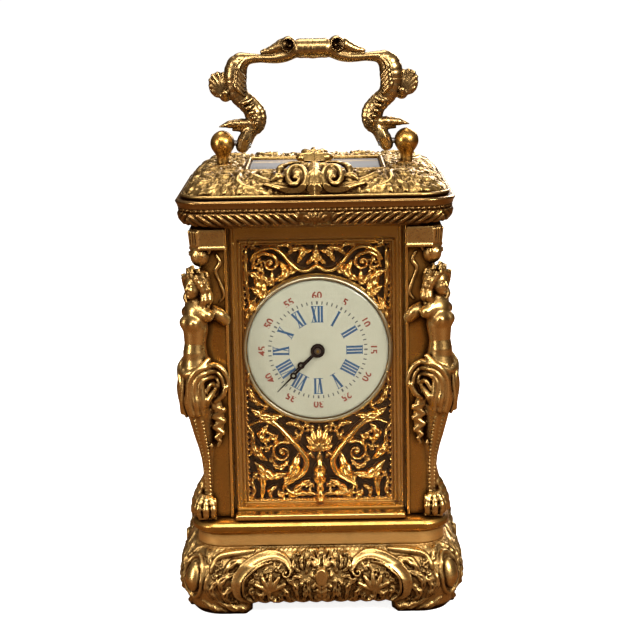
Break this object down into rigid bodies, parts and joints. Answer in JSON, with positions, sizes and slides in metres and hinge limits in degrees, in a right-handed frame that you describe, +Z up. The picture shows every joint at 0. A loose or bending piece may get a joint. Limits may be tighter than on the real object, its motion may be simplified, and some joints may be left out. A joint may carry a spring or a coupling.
{
  "type": "carriage clock",
  "caption": "Small gilt carriage clock with caryatid corner figures, pierced front, enamel dial, bevelled glazing, folding scroll handle, opening back door and a lever-escapement movement.",
  "frame": {"origin": "middle of the footprint, on the plane the feet stand on", "axes": "+Z up; -Y out of the dial; +X to the right seen from the front"},
  "size_m": [0.058, 0.056, 0.1148],
  "materials": {
    "gilt_case": "fire-gilt cast brass, polished high spots, dark patina in the recesses",
    "movement_brass": "lacquered plain brass",
    "polished_steel": "polished steel",
    "blued_steel": "heat-blued steel, near black",
    "dial_enamel": "domed ivory-white vitreous enamel on copper",
    "bevelled_glass": "clear polished glass with bevelled edges"
  },
  "bodies": {
    "case": {"back_plate": "movement_brass", "balance_cock": "movement_brass", "ball_post_left": "gilt_case", "ball_post_right": "gilt_case", "base_casting": "gilt_case", "bottom_plate": "movement_brass", "caryatid_front_left": "gilt_case", "caryatid_front_right": "gilt_case", "caryatid_rear_left": "gilt_case", "caryatid_rear_right": "gilt_case", "click_spring": "polished_steel", "corner_post_front_left": "gilt_case", "corner_post_front_right": "gilt_case", "corner_post_rear_left": "gilt_case", "corner_post_rear_right": "gilt_case", "cornice": "gilt_case", "dial": "dial_enamel", "dial_bezel": "gilt_case", "escape_cock": "movement_brass", "escapement_platform": "movement_brass", "front_glass": "bevelled_glass", "front_plate": "movement_brass", "hairspring": "blued_steel", "handle_pivot_left": "polished_steel", "handle_pivot_right": "polished_steel", "lid": "gilt_case", "mask_plate": "gilt_case", "movement_pillar_1": "movement_brass", "movement_pillar_2": "movement_brass", "movement_pillar_3": "movement_brass", "movement_pillar_4": "movement_brass", "movement_screw_left": "polished_steel", "movement_screw_right": "polished_steel", "side_glass_left": "bevelled_glass", "side_glass_right": "bevelled_glass", "top_glass": "bevelled_glass"},
    "handle": {"handle": "gilt_case"},
    "back_door": {"back_door_frame": "gilt_case", "back_door_glass": "bevelled_glass", "door_knob": "gilt_case"},
    "barrel": {"barrel": "movement_brass", "barrel_cover": "movement_brass", "mainspring": "polished_steel"},
    "winding_arbor": {"winding_arbor": "polished_steel", "ratchet_wheel": "polished_steel"},
    "click": {"click": "polished_steel"},
    "intermediate_wheel": {"intermediate_wheel": "movement_brass"},
    "centre_arbor": {"centre_wheel": "movement_brass", "cannon_pinion": "polished_steel", "minute_hand": "blued_steel"},
    "third_wheel": {"third_wheel": "movement_brass"},
    "contrate_wheel": {"contrate_wheel": "movement_brass"},
    "escape_wheel": {"escape_wheel": "polished_steel"},
    "pallet_lever": {"pallet_lever": "polished_steel"},
    "balance": {"balance_wheel": "movement_brass"},
    "minute_wheel": {"minute_wheel": "movement_brass"},
    "hour_wheel": {"hour_wheel": "movement_brass", "hour_hand": "blued_steel"}
  },
  "joints": [
    {"name": "centre_arbor_turn", "type": "hinge", "parent": "case", "child": "centre_arbor", "pos_m": [0, 0, 0.0528], "axis": [0, 1, 0], "continuous": true},
    {"name": "barrel_turn", "type": "hinge", "parent": "case", "child": "barrel", "pos_m": [0, 0, 0.03882], "axis": [0, 1, 0], "continuous": true},
    {"name": "intermediate_wheel_turn", "type": "hinge", "parent": "case", "child": "intermediate_wheel", "pos_m": [-0.005, 0, 0.04762], "axis": [0, 1, 0], "continuous": true},
    {"name": "third_wheel_turn", "type": "hinge", "parent": "case", "child": "third_wheel", "pos_m": [-0.0033, 0, 0.05752], "axis": [0, 1, 0], "continuous": true},
    {"name": "contrate_wheel_turn", "type": "hinge", "parent": "case", "child": "contrate_wheel", "pos_m": [0, 0, 0.06094], "axis": [0, 1, 0], "continuous": true},
    {"name": "escape_wheel_turn", "type": "hinge", "parent": "case", "child": "escape_wheel", "pos_m": [0, 0.00287, 0.0685], "axis": [0, 0, 1], "continuous": true},
    {"name": "minute_wheel_turn", "type": "hinge", "parent": "case", "child": "minute_wheel", "pos_m": [0, -0.014, 0.0496], "axis": [0, 1, 0], "continuous": true},
    {"name": "hour_wheel_turn", "type": "hinge", "parent": "case", "child": "hour_wheel", "pos_m": [0, -0.015, 0.0528], "axis": [0, 1, 0], "continuous": true},
    {"name": "pallet_lever_rock", "type": "hinge", "parent": "case", "child": "pallet_lever", "pos_m": [0, -0.00083, 0.0685], "axis": [0, 0, 1], "range_deg": [-5, 5]},
    {"name": "balance_swing", "type": "hinge", "parent": "case", "child": "balance", "pos_m": [0, -0.00543, 0.0707], "axis": [0, 0, 1], "range_deg": [-270, 270], "stiffness_Nm_per_rad": 0.00000086},
    {"name": "winding_arbor_turn", "type": "hinge", "parent": "case", "child": "winding_arbor", "pos_m": [0, 0, 0.03882], "axis": [0, 1, 0], "range_deg": [0, 1800]},
    {"name": "click_lift", "type": "hinge", "parent": "case", "child": "click", "pos_m": [0.0056, 0.013, 0.04202], "axis": [0, -1, 0], "range_deg": [0, 14]},
    {"name": "handle_fold", "type": "hinge", "parent": "case", "child": "handle", "pos_m": [0, 0, 0.0927], "axis": [1, 0, 0], "range_deg": [-90, 90]},
    {"name": "back_door_swing", "type": "hinge", "parent": "case", "child": "back_door", "pos_m": [0.0164, 0.0207, 0.04885], "axis": [0, 0, -1], "range_deg": [0, 110]}
  ],
  "couplings": [
    {"joint": "barrel_turn", "follows": "centre_arbor_turn", "ratio": 0.03},
    {"joint": "intermediate_wheel_turn", "follows": "centre_arbor_turn", "ratio": -0.2},
    {"joint": "third_wheel_turn", "follows": "centre_arbor_turn", "ratio": -8},
    {"joint": "contrate_wheel_turn", "follows": "centre_arbor_turn", "ratio": 60},
    {"joint": "escape_wheel_turn", "follows": "centre_arbor_turn", "ratio": 600},
    {"joint": "minute_wheel_turn", "follows": "centre_arbor_turn", "ratio": -0.33333},
    {"joint": "hour_wheel_turn", "follows": "centre_arbor_turn", "ratio": 0.083333}
  ]
}
